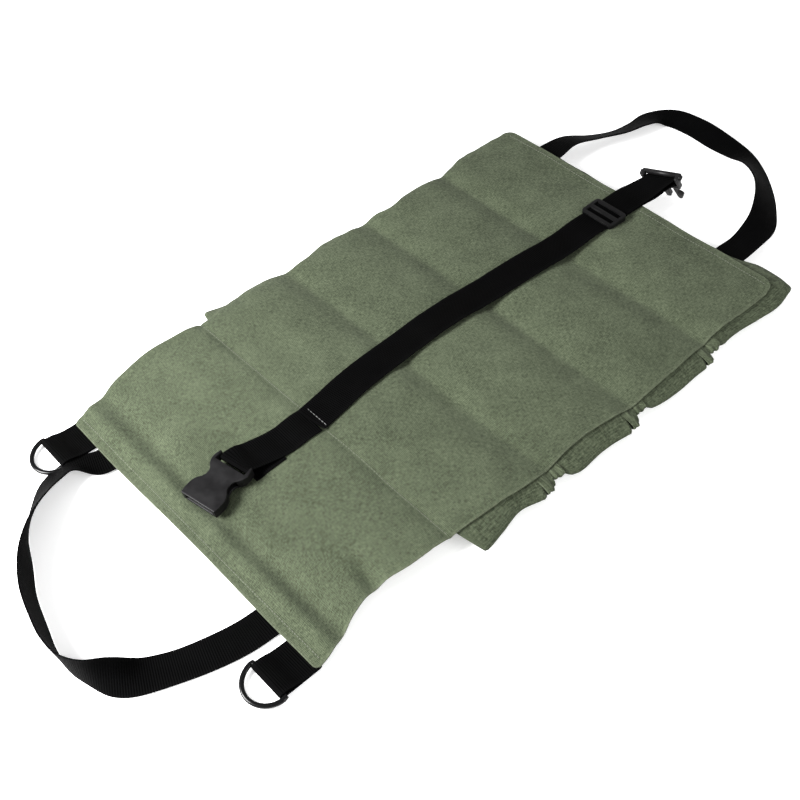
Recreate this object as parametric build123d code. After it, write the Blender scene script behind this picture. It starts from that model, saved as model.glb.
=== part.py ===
from build123d import *
import os
from math import atan2, cos, degrees, radians, tan

# Canvas tool roll, unrolled and lying on its pockets. +X runs from the flap (near) to the far hem,
# +Y across the roll, +Z up. The origin is on the ground under the middle of the whole outline.

# overall sizes, mm
roll_length = 570.0  # hem to hem
roll_width = 350.0
flap_length = 152.0  # near hem to the seam of the first pocket
pocket_count = 4
pocket_depth = 18.0  # inside the canvas, down to the ground
canvas_thick = 2.0
near_handle_reach = 147.0  # how far each handle stands out past its hem
far_handle_reach = 179.0

# folds
fold_gap = 0.3  # from a seam line to the fabric on each side of it
wedge_deg = 46.0  # lean of the pocket walls, so that the pockets clear each other when rolled
flap_lip = 4.0  # from the pocket seam to the line that the flap folds on
flap_root_length = 26.0
flap_slope_deg = 6.5  # the flap runs down from the pockets to the ground

# pockets and zips
wall_thick = 2.0
gusset_bulge = 13.0  # how far the bellows sides stand out past the canvas
end_bulge = 10.0
zip_recess = 18.0
zip_end = 20.0  # from each end of a zip to the canvas's side
zip_slit = 5.2
element_wide = 1.4
tape_thick = 0.6
slider_length = 11.0
slider_wide = 9.2
puller_length = 24.0
puller_thick = 1.0
zip_clear = 0.3
ground_clear = 0.2

# webbing and hems
webbing_wide = 32.0
webbing_thick = 1.6
tab_wide = 36.0
hem_wide = 9.0
hem_thick = 3.0
handle_thick = 2.4
handle_band = 24.0
handle_in = 56.0  # from the canvas's side to the middle of each handle end
tab_in = 18.0  # from the canvas's side to the middle of each D-ring tab
near_handle_gap = 1.8  # from each hem to the webbing that hinges at it
far_handle_gap = 2.4
tab_length = 32.0

# strap on the back of the roll
strap_y = [10.0, 20.0, 17.5, 10.0, 8.2]  # middle of the strap at each pocket seam
strap_lift = [0.4, 2.6, 2.6, 2.6, 2.6]  # height over the canvas at each pocket seam
strap_gap = 1.1
stitch_patch = 12.0
tail_rise = 14.0
tail_length = 33.0
tail_side = -12.0

# side-release buckle and adjuster
bar_radius = 1.6
loop_clear = 0.3
slot_clear = 1.2
loop_thick = 1.7
arm_wide = 1.8  # each side of the strap's slot
socket_length = 44.0
socket_thick = 10.0
socket_wall = 2.0
socket_reach = 55.5  # from the flap root's outer edge to the socket's strap bar
socket_side = 4.5  # from the strap's middle to the strap bar's middle
socket_turn = 10.4  # degrees that the socket lies askew
socket_lift = 2.1  # room between the webbing loop and the flap, so that the socket can tilt
socket_waist = 11.0
plug_thick = 4.0
prong_length = 21.0
glide_length = 26.0
glide_x = 26.0  # from the adjuster's far end to the far hem

# D-rings
ring_wire = 4.5
ring_depth = 24.0
ring_clear = 0.8

top = pocket_depth + canvas_thick
element_low = wall_thick - 0.4
element_high = 1.8
pitch = (roll_length - flap_length) / pocket_count
near_x = (near_handle_reach - far_handle_reach - roll_length) / 2
seams = [near_x + flap_length + i * pitch for i in range(pocket_count + 1)]
far_x = seams[-1]
half_width = roll_width / 2
zip_length = roll_width - 2 * zip_end
handle_root_y = half_width - handle_in
tab_y = half_width - tab_in
lean = tan(radians(wedge_deg))
flap_hinge_x = seams[0] - flap_lip
flap_main_length = (seams[0] - flap_lip - near_x) / cos(radians(flap_slope_deg)) - flap_root_length
flap_frame = Pos(flap_hinge_x, 0, top) * Rot(0, -flap_slope_deg, 0)
loop_radius = bar_radius + loop_clear + loop_thick
slot_half = webbing_wide / 2 + slot_clear
buckle_half = slot_half + arm_wide

made = {}


def keep(name, *solids):
    """Hold a node's solids under its name."""
    made[name] = solids[0] if len(solids) == 1 else Compound(children=list(solids))


def box(x0, x1, y0, y1, z0, z1):
    """A box between two corners."""
    middle = Pos((x0 + x1) / 2, (y0 + y1) / 2, (z0 + z1) / 2)
    return middle * Box(x1 - x0, y1 - y0, z1 - z0)


def across(points, y0, y1):
    """A profile in X and Z, run across the roll from y0 to y1."""
    face = make_face(Polyline(*points, close=True))
    return Pos(0, (y0 + y1) / 2, 0) * extrude(Plane.XZ * face, amount=(y1 - y0) / 2, both=True)


def along(points, x0, x1):
    """A profile in Y and Z, run along the roll from x0 to x1."""
    face = make_face(Polyline(*points, close=True))
    return Pos((x0 + x1) / 2, 0, 0) * extrude(Plane.YZ * face, amount=(x1 - x0) / 2, both=True)


def flat(points, z0, z1):
    """An outline in X and Y, raised from z0 to z1."""
    return Pos(0, 0, z0) * extrude(make_face(Polyline(*points, close=True)), amount=z1 - z0)


def inset(depth):
    """How far a pocket's fabric has drawn in from its seam at a depth below the back."""
    return fold_gap + depth * lean


def canvas_panel(i):
    """The back canvas over one pocket, with leaning edges where it folds."""
    last = i == pocket_count - 1
    x0 = flap_hinge_x if i == 0 else seams[i]
    x1 = far_x - hem_wide if last else seams[i + 1]
    points = [
        (x0 + fold_gap, top),
        (x1 if last else x1 - fold_gap, top),
        (x1 if last else x1 - inset(canvas_thick), pocket_depth),
        (x0 + inset(canvas_thick), pocket_depth),
    ]
    keep(f"canvas_{i + 1}", across(points, -half_width, half_width))


def pocket_sides(i):
    """Outer X and Z points of a pocket's near and far walls, from the back down to the ground."""
    near = [(seams[i] + inset(canvas_thick), pocket_depth), (seams[i] + inset(top), 0)]
    far = [(seams[i + 1] - inset(canvas_thick), pocket_depth), (seams[i + 1] - inset(top), 0)]
    if i == pocket_count - 1:
        far = [(far_x, pocket_depth), (far_x + end_bulge, pocket_depth / 2), (far_x, 0)]
    return near, far


def pocket_fabric(i):
    """Near and far walls, the two bellows sides and the face with its zip opening."""
    near, far = pocket_sides(i)
    inner_near = [(x + wall_thick, z) for x, z in reversed(near)]
    inner_far = [(x - wall_thick, z) for x, z in reversed(far)]
    side = half_width - wall_thick
    keep(f"pocket_{i + 1}_near_wall", across(near + inner_near, -side, side))
    keep(f"pocket_{i + 1}_far_wall", across(far + inner_far, -side, side))
    outline = across(near + list(reversed(far)), -roll_width, roll_width)
    fold_out = half_width + gusset_bulge
    bellows = [
        (half_width, pocket_depth),
        (fold_out, pocket_depth / 2),
        (half_width, 0),
        (side, 0),
        (fold_out - wall_thick, pocket_depth / 2),
        (side, pocket_depth),
    ]
    left = along(bellows, far_x - 2 * roll_length, far_x + roll_length) & outline
    keep(f"pocket_{i + 1}_left_gusset", left)
    keep(f"pocket_{i + 1}_right_gusset", mirror(left, about=Plane.XZ))
    face_near = near[-1][0] + wall_thick
    face_far = far[-1][0] - wall_thick
    middle = zip_x(i)
    face_side = side - wall_thick
    slit_end = zip_length / 2
    strips = [
        box(face_near, middle - zip_recess / 2, -face_side, face_side, 0, wall_thick),
        box(middle + zip_recess / 2, face_far, -face_side, face_side, 0, wall_thick),
        box(middle - zip_recess / 2, middle + zip_recess / 2, slit_end, face_side, 0, wall_thick),
        box(middle - zip_recess / 2, middle + zip_recess / 2, -face_side, -slit_end, 0, wall_thick),
    ]
    keep(f"pocket_{i + 1}_face", *strips)


def zip_x(i):
    """The zip runs across the middle of its pocket's face."""
    return (seams[i] + seams[i + 1]) / 2


def zip_parts(i):
    """Tapes and element chains of the open zip, its slider and its puller."""
    middle = zip_x(i)
    slit = zip_slit / 2
    chain_out = slit + element_wide
    tape_out = zip_recess / 2 + 4
    half = zip_length / 2
    sides = []
    for side in (-1, 1):
        edges = sorted((side * chain_out, side * tape_out))
        tape = box(middle + edges[0], middle + edges[1], -half, half, wall_thick, wall_thick + tape_thick)
        edges = sorted((side * slit, side * chain_out))
        chain = box(middle + edges[0], middle + edges[1], -half, half, element_low, element_low + element_high)
        sides.append(tape + chain)
    keep(f"zip_{i + 1}_tape", *sides)
    y0 = -half + 4
    y1 = y0 + slider_length
    post_half = slit - 1.1
    lower_z = element_low - zip_clear
    upper_z = element_low + element_high + zip_clear
    lower = box(middle - slider_wide / 2, middle + slider_wide / 2, y0, y1, ground_clear, lower_z)
    post = box(middle - post_half, middle + post_half, y0 + 2, y1 - 2, lower_z, upper_z)
    upper = box(middle - slider_wide / 2, middle + slider_wide / 2, y0, y1, upper_z, upper_z + 0.8)
    keep(f"zip_{i + 1}_slider", lower + post + upper)
    tip = y1 + 0.6 + puller_length
    tag = box(middle - 2.6, middle + 2.6, y1 + 0.6, tip, ground_clear, ground_clear + puller_thick)
    hole = Pos(middle, tip - 5, 0) * Cylinder(1.4, 6)
    keep(f"zip_{i + 1}_puller", fillet(tag.edges().filter_by(Axis.Z), 1.6) - hole)


def far_hem():
    """The turned hem along the last pocket's edge."""
    keep("far_hem", box(far_x - hem_wide, far_x, -half_width, half_width, top - hem_thick + 1, top))


def on_flap(shape):
    """Carry a shape from the flap's own frame (x along it, z out of it) onto the slope."""
    return flap_frame * shape


def flap_parts():
    """Root strip, plain flap and the near hem, in one slope."""
    root = [
        (-fold_gap, 0),
        (-inset(canvas_thick), -canvas_thick),
        (-flap_root_length + inset(canvas_thick), -canvas_thick),
        (-flap_root_length + fold_gap, 0),
    ]
    keep("flap_root", on_flap(across(root, -half_width, half_width)))
    end = -flap_root_length - flap_main_length
    main = [
        (-flap_root_length - fold_gap, 0),
        (-flap_root_length - inset(canvas_thick), -canvas_thick),
        (end + hem_wide, -canvas_thick),
        (end + hem_wide, 0),
    ]
    keep("flap", on_flap(across(main, -half_width, half_width)))
    hem = box(end, end + hem_wide, -half_width, half_width, -hem_thick + 0.05, 0)
    keep("near_hem", on_flap(hem))


def d_ring(side):
    """D-ring whose straight side lies in the loop at the end of its webbing tab."""
    wire = ring_wire / 2
    inner = tab_wide + ring_wire + 2 * ring_clear
    height = wire + loop_clear + loop_thick
    bar = Rot(90, 0, 0) * Cylinder(wire, inner + ring_wire)
    bow_face = Ellipse(ring_depth, inner / 2 + wire) - Ellipse(ring_depth - ring_wire, inner / 2 - wire)
    bow_face = bow_face & (Pos(-ring_depth, 0, 0) * Rectangle(2 * ring_depth, 4 * inner))
    bow = Pos(0, 0, -wire * 0.8) * extrude(bow_face, amount=wire * 1.6)
    sag = degrees(atan2(height - wire, ring_depth))
    place = Pos(ring_bar_x(), side * tab_y, height) * Rot(0, -sag, 0)
    return place * (bar + bow)


def ring_bar_x():
    """Line that both D-rings turn on."""
    return near_x - tab_length


def tabs_and_rings():
    """Webbing tabs under the near hem, each with its D-ring."""
    for name, side in (("left", 1), ("right", -1)):
        height = ring_wire / 2 + loop_clear + loop_thick
        loop = Pos(ring_bar_x(), side * tab_y, height) * Rot(90, 0, 0) * Cylinder(height, tab_wide)
        low = side * tab_y - tab_wide / 2
        plate = box(ring_bar_x(), near_x - 0.6, low, low + tab_wide, 0, 2 * webbing_thick)
        bore = Pos(ring_bar_x(), side * tab_y, height) * Rot(90, 0, 0)
        bore = bore * Cylinder(height - loop_thick, tab_wide + 2)
        keep(f"{name}_ring_tab", loop + plate - bore)
        keep(f"{name}_d_ring", d_ring(side))


def band(points, radii_share):
    """A flat loop of webbing along a line of points with rounded corners."""
    reaches = [(Vector(*a) - Vector(*b)).length for a, b in zip(points, points[1:])]
    corners = len(points) - 2
    radii = [radii_share * min(reaches[k], reaches[k + 1]) for k in range(corners)]
    return trace(FilletPolyline(*points, radius=radii), line_width=handle_band)


def near_handle():
    """Webbing handle that lies on the ground past the near hem."""
    y = handle_root_y
    reach = near_handle_reach - handle_band / 2
    points = [
        (near_x - 0.9, y),
        (near_x - 0.38 * reach, y - 3),
        (near_x - 0.86 * reach, y - 38),
        (near_x - reach, 0.1 * y),
        (near_x - reach, -0.34 * y),
        (near_x - 0.82 * reach, -y + 44),
        (near_x - 0.42 * reach, -y + 14),
        (near_x - 0.9, -y),
    ]
    cut = box(near_x - near_handle_gap, far_x, -roll_width, roll_width, -roll_width, roll_width)
    keep("near_handle", extrude(band(points, 0.4), amount=handle_thick) - cut)


def far_handle():
    """Webbing handle that runs from under the far hem down to the ground."""
    y = handle_root_y
    reach = far_handle_reach - handle_band / 2
    root_z = pocket_depth - 0.6
    slope = degrees(atan2(root_z - ground_clear, far_handle_reach))
    stretch = reach / cos(radians(slope))
    points = [
        (0.3, y),
        (0.45 * stretch, y - 26),
        (0.8 * stretch, y - 28),
        (stretch, y - 62),
        (stretch, -0.16 * y),
        (0.84 * stretch, -y + 50),
        (0.4 * stretch, -y + 10),
        (0.3, -y),
    ]
    loop = extrude(band(points, 0.4), amount=handle_thick)
    cut = box(-roll_length, far_handle_gap, -roll_width, roll_width, -roll_width, roll_width)
    place = Pos(far_x, 0, root_z) * Rot(0, slope, 0)
    keep("far_handle", place * (loop - cut))


def strap_parts():
    """The stitched patch and one length of strap over each pocket, along a gentle S."""
    patch = box(
        flap_hinge_x + strap_gap,
        flap_hinge_x + strap_gap + stitch_patch,
        strap_y[0] - webbing_wide / 2,
        strap_y[0] + webbing_wide / 2,
        top,
        top + webbing_thick,
    )
    keep("strap_stitch_patch", patch)
    for i in range(pocket_count):
        x0 = strap_start() if i == 0 else seams[i]
        x1 = seams[i + 1]
        half = webbing_wide / 2
        outline = [
            (x0 + strap_gap, strap_y[i] - half),
            (x1 - strap_gap, strap_y[i + 1] - half),
            (x1 - strap_gap, strap_y[i + 1] + half),
            (x0 + strap_gap, strap_y[i] + half),
        ]
        z0 = top + strap_lift[i]
        z1 = top + strap_lift[i + 1]
        profile = [
            (x0 + strap_gap, z0),
            (x1 - strap_gap, z1),
            (x1 - strap_gap, z1 + webbing_thick),
            (x0 + strap_gap, z0 + webbing_thick),
        ]
        keep(f"strap_{i + 1}", flat(outline, 0, 2 * top) & across(profile, -half_width, half_width))


def strap_start():
    """Line where the long strap leaves its stitching."""
    return flap_hinge_x + strap_gap + stitch_patch


def adjuster():
    """Tri-glide: two bars over the strap and one under it, joined by rails outside the strap."""
    x1 = far_x - glide_x
    x0 = x1 - glide_length
    middle = (strap_y[-1] + strap_y[-2] * 0.3) / 1.3
    low = top + strap_lift[-1]
    high = low + webbing_thick
    side = webbing_wide / 2 + 1.6
    rail_out = buckle_half + 0.8
    bars = [
        box(x0, x0 + 5, middle - side, middle + side, high + zip_clear, high + 2.5),
        box(x1 - 5, x1, middle - side, middle + side, high + zip_clear, high + 2.5),
        box(
            (x0 + x1) / 2 - 3, (x0 + x1) / 2 + 3, middle - side, middle + side,
            low - 1.9, low - zip_clear,
        ),
    ]
    rails = [
        box(x0, x1, middle + side, middle + rail_out, low - 1.9, high + 2.5),
        box(x0, x1, middle - rail_out, middle - side, low - 1.9, high + 2.5),
    ]
    frame = bars[0] + bars[1] + bars[2] + rails[0] + rails[1]
    keep("tri_glide", frame)


def tail_frame():
    """Frame of the buckle bar at the strap's end: x along the bar, y towards the prongs."""
    start = tail_start()
    centre = start + Vector(tail_length, tail_side, tail_rise - strap_lift[-1])
    bar = Vector(0.2, -0.95, 0.22).normalized()
    hang = Vector(0.48, -0.1, -0.86)
    hang = (hang - bar * hang.dot(bar)).normalized()
    normal = bar.cross(hang)
    return start, Plane(origin=centre, x_dir=bar, z_dir=normal)


def tail_start():
    """Middle of the strap where its tail leaves the far hem."""
    return Vector(far_x, strap_y[-1], top + strap_lift[-1])


def strap_tail():
    """Doubled webbing from the far hem up to the loop round the buckle bar."""
    start, bar_plane = tail_frame()
    toward = (bar_plane.origin - start - bar_plane.x_dir * (bar_plane.origin - start).dot(bar_plane.x_dir))
    toward = toward.normalized()
    near_plane = Plane(origin=start + Vector(strap_gap, 0, webbing_thick / 2), x_dir=(0, 1, 0), z_dir=(1, 0, 0))
    end = bar_plane.origin - toward * (bar_radius + loop_clear + loop_thick / 2)
    far_plane = Plane(origin=end, x_dir=-bar_plane.x_dir, z_dir=toward)
    near_face = near_plane * Rectangle(webbing_wide, webbing_thick)
    far_face = far_plane * Rectangle(webbing_wide, webbing_thick)
    sheet = loft([near_face, far_face], ruled=True)
    ring = bar_plane * (Rot(0, 90, 0) * Cylinder(loop_radius, webbing_wide))
    bore = bar_plane * (Rot(0, 90, 0) * Cylinder(loop_radius - loop_thick, webbing_wide + 6))
    keep("strap_tail", sheet + ring - bore)


def buckle_plug():
    """Male half: bar, arms, base and centre guide, with two prongs that flex."""
    bar_plane = tail_frame()[1]
    bar = Rot(0, 90, 0) * Cylinder(bar_radius, 2 * slot_half + 1)
    half = plug_thick / 2
    base_y = loop_radius + 2.4
    arms = [
        box(slot_half, buckle_half, -half, base_y, -half, half),
        box(-buckle_half, -slot_half, -half, base_y, -half, half),
    ]
    base = box(-buckle_half, buckle_half, base_y, base_y + 6.5, -half, half)
    tip = base_y + 6.5 + prong_length
    guide = box(-3.2, 3.2, base_y + 6.5, tip - 3, -1.5, 1.5)
    keep("buckle_plug", bar_plane * (bar + arms[0] + arms[1] + base + guide))
    for name, side in (("left", -1), ("right", 1)):
        y0 = base_y + 6.5 + loop_clear
        outline = [
            (side * 9.5, y0),
            (side * 13.5, y0),
            (side * 13.0, tip - 11),
            (side * 16.5, tip - 8),
            (side * 15.0, tip - 2),
            (side * 12.0, tip),
            (side * 9.6, tip - 3),
        ]
        if side > 0:
            outline.reverse()
        keep(f"{name}_prong", bar_plane * flat(outline, -half, half))


def socket_frame():
    """Frame of the socket on the flap: x from its strap bar to its mouth."""
    place = Pos(-(flap_root_length + socket_reach), strap_y[0] + socket_side, loop_radius + socket_lift)
    return flap_frame * place * Rot(0, 0, 180 + socket_turn)


def buckle_socket():
    """Female half: waisted shell with a socket, windows at its waist and an open strap bar."""
    half = buckle_half
    outline = [
        (-bar_radius - 0.5, half),
        (9, half),
        (16, socket_waist),
        (21, socket_waist),
        (29, half),
        (socket_length, half),
    ]
    outline = outline + [(x, -y) for x, y in reversed(outline)]
    low = -loop_radius - 1.4
    shell = flat(outline, low, low + socket_thick)
    notch = box(-10, 8, -slot_half, slot_half, -20, 20)
    inside = box(
        14, socket_length + 1, -half + 2.5, half - 2.5, low + socket_wall, low + socket_thick - socket_wall
    )
    bar = Rot(90, 0, 0) * Cylinder(bar_radius, 2 * slot_half + 1)
    keep("buckle_socket", socket_frame() * (shell - notch - inside + bar))


def buckle_strap():
    """Short strap from the stitching to the loop round the socket's bar."""
    half = webbing_wide / 2
    middle = strap_y[0] + 1
    root = box(-flap_root_length + strap_gap, -strap_gap, middle - half, middle + half, 0.4, 0.4 + webbing_thick)
    keep("buckle_strap_root", on_flap(root))
    end = -(flap_root_length + socket_reach)
    bar_z = loop_radius + socket_lift
    y0 = middle
    y1 = strap_y[0] + socket_side
    outline = [
        (-flap_root_length - strap_gap, y0 - half),
        (-flap_root_length - strap_gap, y0 + half),
        (end + 2.6, y1 + half),
        (end + 2.6, y1 - half),
    ]
    profile = [
        (-flap_root_length - strap_gap, 0.4),
        (end + 2.6, bar_z - webbing_thick / 2),
        (end + 2.6, bar_z + webbing_thick / 2),
        (-flap_root_length - strap_gap, 0.4 + webbing_thick),
    ]
    sheet = flat(outline, -top, 2 * top) & across(profile, -half_width, half_width)
    bar_line = Pos(end, y1, bar_z) * Rot(0, 0, socket_turn) * Rot(90, 0, 0)
    ring = bar_line * Cylinder(loop_radius, webbing_wide)
    bore = bar_line * Cylinder(loop_radius - loop_thick, webbing_wide + 6)
    keep("buckle_strap", on_flap(sheet + ring - bore))


for pocket in range(pocket_count):
    canvas_panel(pocket)
    pocket_fabric(pocket)
    zip_parts(pocket)
far_hem()
flap_parts()
tabs_and_rings()
near_handle()
far_handle()
strap_parts()
adjuster()
strap_tail()
buckle_plug()
buckle_socket()
buckle_strap()

os.makedirs("parts", exist_ok=True)
for name, shape in made.items():
    export_step(shape, f"parts/{name}.step")
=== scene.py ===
import math
import bpy
import numpy as np
from mathutils import Matrix, Vector


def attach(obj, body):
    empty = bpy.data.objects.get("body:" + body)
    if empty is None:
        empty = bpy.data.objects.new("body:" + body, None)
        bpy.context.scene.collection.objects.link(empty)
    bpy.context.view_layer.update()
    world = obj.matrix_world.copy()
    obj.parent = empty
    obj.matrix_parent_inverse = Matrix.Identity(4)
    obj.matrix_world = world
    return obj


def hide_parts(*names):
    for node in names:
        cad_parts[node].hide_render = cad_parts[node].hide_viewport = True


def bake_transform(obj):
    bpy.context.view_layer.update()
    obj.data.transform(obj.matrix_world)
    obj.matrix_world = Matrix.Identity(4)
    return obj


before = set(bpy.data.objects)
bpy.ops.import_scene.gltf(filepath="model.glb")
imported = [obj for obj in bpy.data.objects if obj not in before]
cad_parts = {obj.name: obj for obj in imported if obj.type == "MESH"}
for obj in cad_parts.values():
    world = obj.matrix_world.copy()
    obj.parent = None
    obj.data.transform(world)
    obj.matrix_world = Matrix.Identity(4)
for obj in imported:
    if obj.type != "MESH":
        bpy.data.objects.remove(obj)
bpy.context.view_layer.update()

mm = 0.001  # pieces are drawn in millimetres and made in metres
scene = bpy.context.scene

# where the roll's seams and edges lie, from its own frame
seams = [-149.0, -44.5, 60.0, 164.5, 269.0]
nearHem = -301.0
farHem = 269.0
foldLine = -153.0
roof = 20.0  # top of the back canvas
flapSlope = math.radians(6.5)
crossLine = seams[0]  # the stitching that divides flap from pockets


def seamMiddle(i):
    return (seams[i] + seams[i + 1]) / 2


camera = {
    "place": (-0.5258, -0.6030, 0.8456),
    "right": (0.74197, -0.66732, -0.06452),
    "up": (0.53430, 0.53043, 0.65815),
    "ahead": (0.40498, 0.52280, -0.75011),
    "lens": 55.4,
}


def setCamera():
    data = bpy.data.cameras.new("rollCamera")
    data.lens = camera["lens"]
    seen = bpy.data.objects.new("rollCamera", data)
    turn = Matrix((camera["right"], camera["up"], [-a for a in camera["ahead"]])).transposed()
    seen.matrix_world = Matrix.Translation(camera["place"]) @ turn.to_4x4()
    scene.collection.objects.link(seen)
    scene.camera = seen


setCamera()
print("camera set")


# small tools for shapes

def ripple(x, y, size, seed, waves=8):
    # smooth unevenness, roughly from -1 to 1
    dice = np.random.default_rng(seed)
    total = 0.0
    for _ in range(waves):
        angle = dice.uniform(0, math.pi)
        length = size * dice.uniform(0.7, 1.7)
        phase = dice.uniform(0, 2 * math.pi)
        way = x * math.cos(angle) + y * math.sin(angle)
        total = total + np.sin(way * 2 * math.pi / length + phase)
    return total / math.sqrt(waves) / 1.2


def hump(x, middle, half):
    return np.exp(-(((x - middle) / half) ** 2))


def runAlong(rows):
    # distance from the first row to each row
    return np.concatenate([[0], np.cumsum(np.linalg.norm(np.diff(rows, axis=0), axis=1))])


def smoothLine(points, count=None, step=None):
    # evenly spaced rows on a smooth curve through a few rows; the first three numbers set the spacing
    rows = np.array(points, float)
    reach = runAlong(rows[:, :3])
    if count is None:
        count = max(3, int(round(reach[-1] / step)) + 1)
    slope = np.gradient(rows, reach, axis=0)
    at = np.linspace(0, reach[-1], count)
    k = np.clip(np.searchsorted(reach, at, "right") - 1, 0, len(reach) - 2)
    span = (reach[k + 1] - reach[k])[:, None]
    s = ((at - reach[k])[:, None]) / span
    start = (2 * s**3 - 3 * s**2 + 1) * rows[k] + (s**3 - 2 * s**2 + s) * span * slope[k]
    end = (3 * s**2 - 2 * s**3) * rows[k + 1] + (s**3 - s**2) * span * slope[k + 1]
    return start + end


def edgeLine(points):
    # a smooth outline y of x
    rows = smoothLine([(x, y, 0) for x, y in points], count=400)
    return lambda x: np.interp(x, rows[:, 0], rows[:, 1])


def rowsOf(*grids):
    return np.stack([grid.ravel() for grid in grids], axis=1)


def spread(stops, step):
    # grid lines that pass through every stop
    lines = [stops[0]]
    for a, b in zip(stops, stops[1:]):
        parts = max(1, int(round((b - a) / step)))
        lines.extend(np.linspace(a, b, parts + 1)[1:])
    return np.array(lines)


def gridFaces(rows, columns, wrap=False, skip=None):
    faces = []
    for i in range(rows if wrap else rows - 1):
        for j in range(columns - 1):
            if skip is not None and skip[i, j]:
                continue
            k = ((i + 1) % rows) * columns
            faces.append((i * columns + j, k + j, k + j + 1, i * columns + j + 1))
    return np.array(faces)


def surfaceNormals(points, faces):
    across = np.cross(points[faces[:, 2]] - points[faces[:, 0]], points[faces[:, 3]] - points[faces[:, 1]])
    normals = np.zeros_like(points)
    for corner in range(4):
        np.add.at(normals, faces[:, corner], across)
    length = np.linalg.norm(normals, axis=1, keepdims=True)
    return normals / np.maximum(length, 1e-9)


def makePiece(name, points, faces, finish, uv=None, normals=None, wearAndHighlight=None):
    mesh = bpy.data.meshes.new(name)
    spots = [tuple(p) for p in np.asarray(points) * mm]
    mesh.from_pydata(spots, [], [tuple(int(i) for i in f) for f in faces])
    if uv is not None:
        layer = mesh.uv_layers.new(name="cloth")
        corner = np.empty(len(mesh.loops), np.int32)
        mesh.loops.foreach_get("vertex_index", corner)
        layer.data.foreach_set("uv", (np.asarray(uv) * mm)[corner].astype(np.float32).ravel())
    if wearAndHighlight is not None:
        mark = mesh.attributes.new("wearAndHighlight", "FLOAT", "POINT")
        mark.data.foreach_set("value", np.asarray(wearAndHighlight, np.float32))
    mesh.shade_smooth()
    if normals is not None:
        mesh.normals_split_custom_set_from_vertices([tuple(n) for n in normals])
    mesh.materials.append(finish)
    piece = bpy.data.objects.new(name, mesh)
    scene.collection.objects.link(piece)
    return piece


def fabric(name, points, faces, uv, thick, finish, normals=None, flatEnds=None, wearAndHighlight=None, puff=0.5):
    # both faces of the cloth, with a rounded edge between them
    points = np.asarray(points, float)
    if normals is None:
        normals = surfaceNormals(points, faces)
    used = np.unique(faces)
    back = np.full(len(points), -1)
    back[used] = np.arange(len(used))
    faces = back[faces]
    points = points[used]
    normals = normals[used]
    uv = np.asarray(uv)[used]
    half = np.broadcast_to(np.asarray(thick, float), (len(back),))[used][:, None] / 2
    flat = np.zeros(len(used), bool) if flatEnds is None else np.asarray(flatEnds)[used]
    marks = np.zeros(len(used)) if wearAndHighlight is None else np.asarray(wearAndHighlight)[used]
    edges = {}
    for face in faces:
        for a, b in zip(face, np.roll(face, -1)):
            edges[(int(a), int(b))] = True
    rim = [(a, b) for a, b in edges if (b, a) not in edges]
    outward = np.zeros_like(points)
    for a, b in rim:
        out = np.cross(points[b] - points[a], normals[a])
        outward[a] += out
        outward[b] += out
    rimIds = sorted({i for edge in rim for i in edge})
    length = np.maximum(np.linalg.norm(outward, axis=1, keepdims=True), 1e-9)
    outward = outward / length
    place = {i: 2 * len(points) + k for k, i in enumerate(rimIds)}
    swell = np.where(flat, 0.0, puff)[:, None] * 2 * half
    middle = (points + outward * swell)[rimIds]
    total = len(points)
    allPoints = np.vstack([points + normals * half, points - normals * half, middle])
    allFaces = [tuple(f) for f in faces] + [tuple(total + i for i in reversed(f)) for f in faces]
    for a, b in rim:
        allFaces.append((b, a, place[a], place[b]))
        allFaces.append((place[b], place[a], total + a, total + b))
    allNormals = np.vstack([normals, -normals, outward[rimIds]])
    allUv = np.vstack([uv, uv, uv[rimIds]])
    # the rounded rim is marked lighter still: a painted highlight along every cloth edge, on top of the wear
    allWearAndHighlight = np.concatenate([marks, marks, np.clip(marks[rimIds] + 0.6, 0, 1)])
    return makePiece(name, allPoints, allFaces, finish, allUv, allNormals, allWearAndHighlight)


def ribbon(name, stations, width, thick, finish, step=3.0, across=9, startAt=0.0):
    # webbing along rows of x, y, z and the way its width runs
    line = smoothLine(stations, step=step)
    side = line[:, 3:6]
    side = side / np.linalg.norm(side, axis=1, keepdims=True)
    run = runAlong(line[:, :3]) + startAt
    v = np.linspace(-1, 1, across)
    grid = line[:, None, :3] + side[:, None, :] * (v * width / 2)[None, :, None]
    points = grid.reshape(-1, 3)
    faces = gridFaces(len(line), across)
    normals = surfaceNormals(points, faces)
    unevenness = ripple(np.repeat(run, across), np.tile(v * width, len(line)), 60, len(name))
    points = points + normals * (0.18 * unevenness)[:, None]
    uv = np.stack([np.repeat(run, across), np.tile(v * width / 2, len(line))], axis=1)
    wearAndHighlight = np.tile(np.clip((np.abs(v) - 0.86) / 0.14, 0, 1), len(line)) * 0.6
    return fabric(name, points, faces, uv, thick, finish, normals, wearAndHighlight=wearAndHighlight)


def roundOutline(points, radius, parts=4):
    # an outline with its corners rounded
    rows = [Vector(p) for p in points]
    shaped = []
    for i, corner in enumerate(rows):
        before = rows[i - 1] - corner
        after = rows[(i + 1) % len(rows)] - corner
        cut = min(radius, 0.45 * before.length, 0.45 * after.length)
        a = corner + before.normalized() * cut
        b = corner + after.normalized() * cut
        for k in range(parts + 1):
            t = k / parts
            shaped.append(a * (1 - t) ** 2 + corner * 2 * t * (1 - t) + b * t**2)
    return shaped


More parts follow.
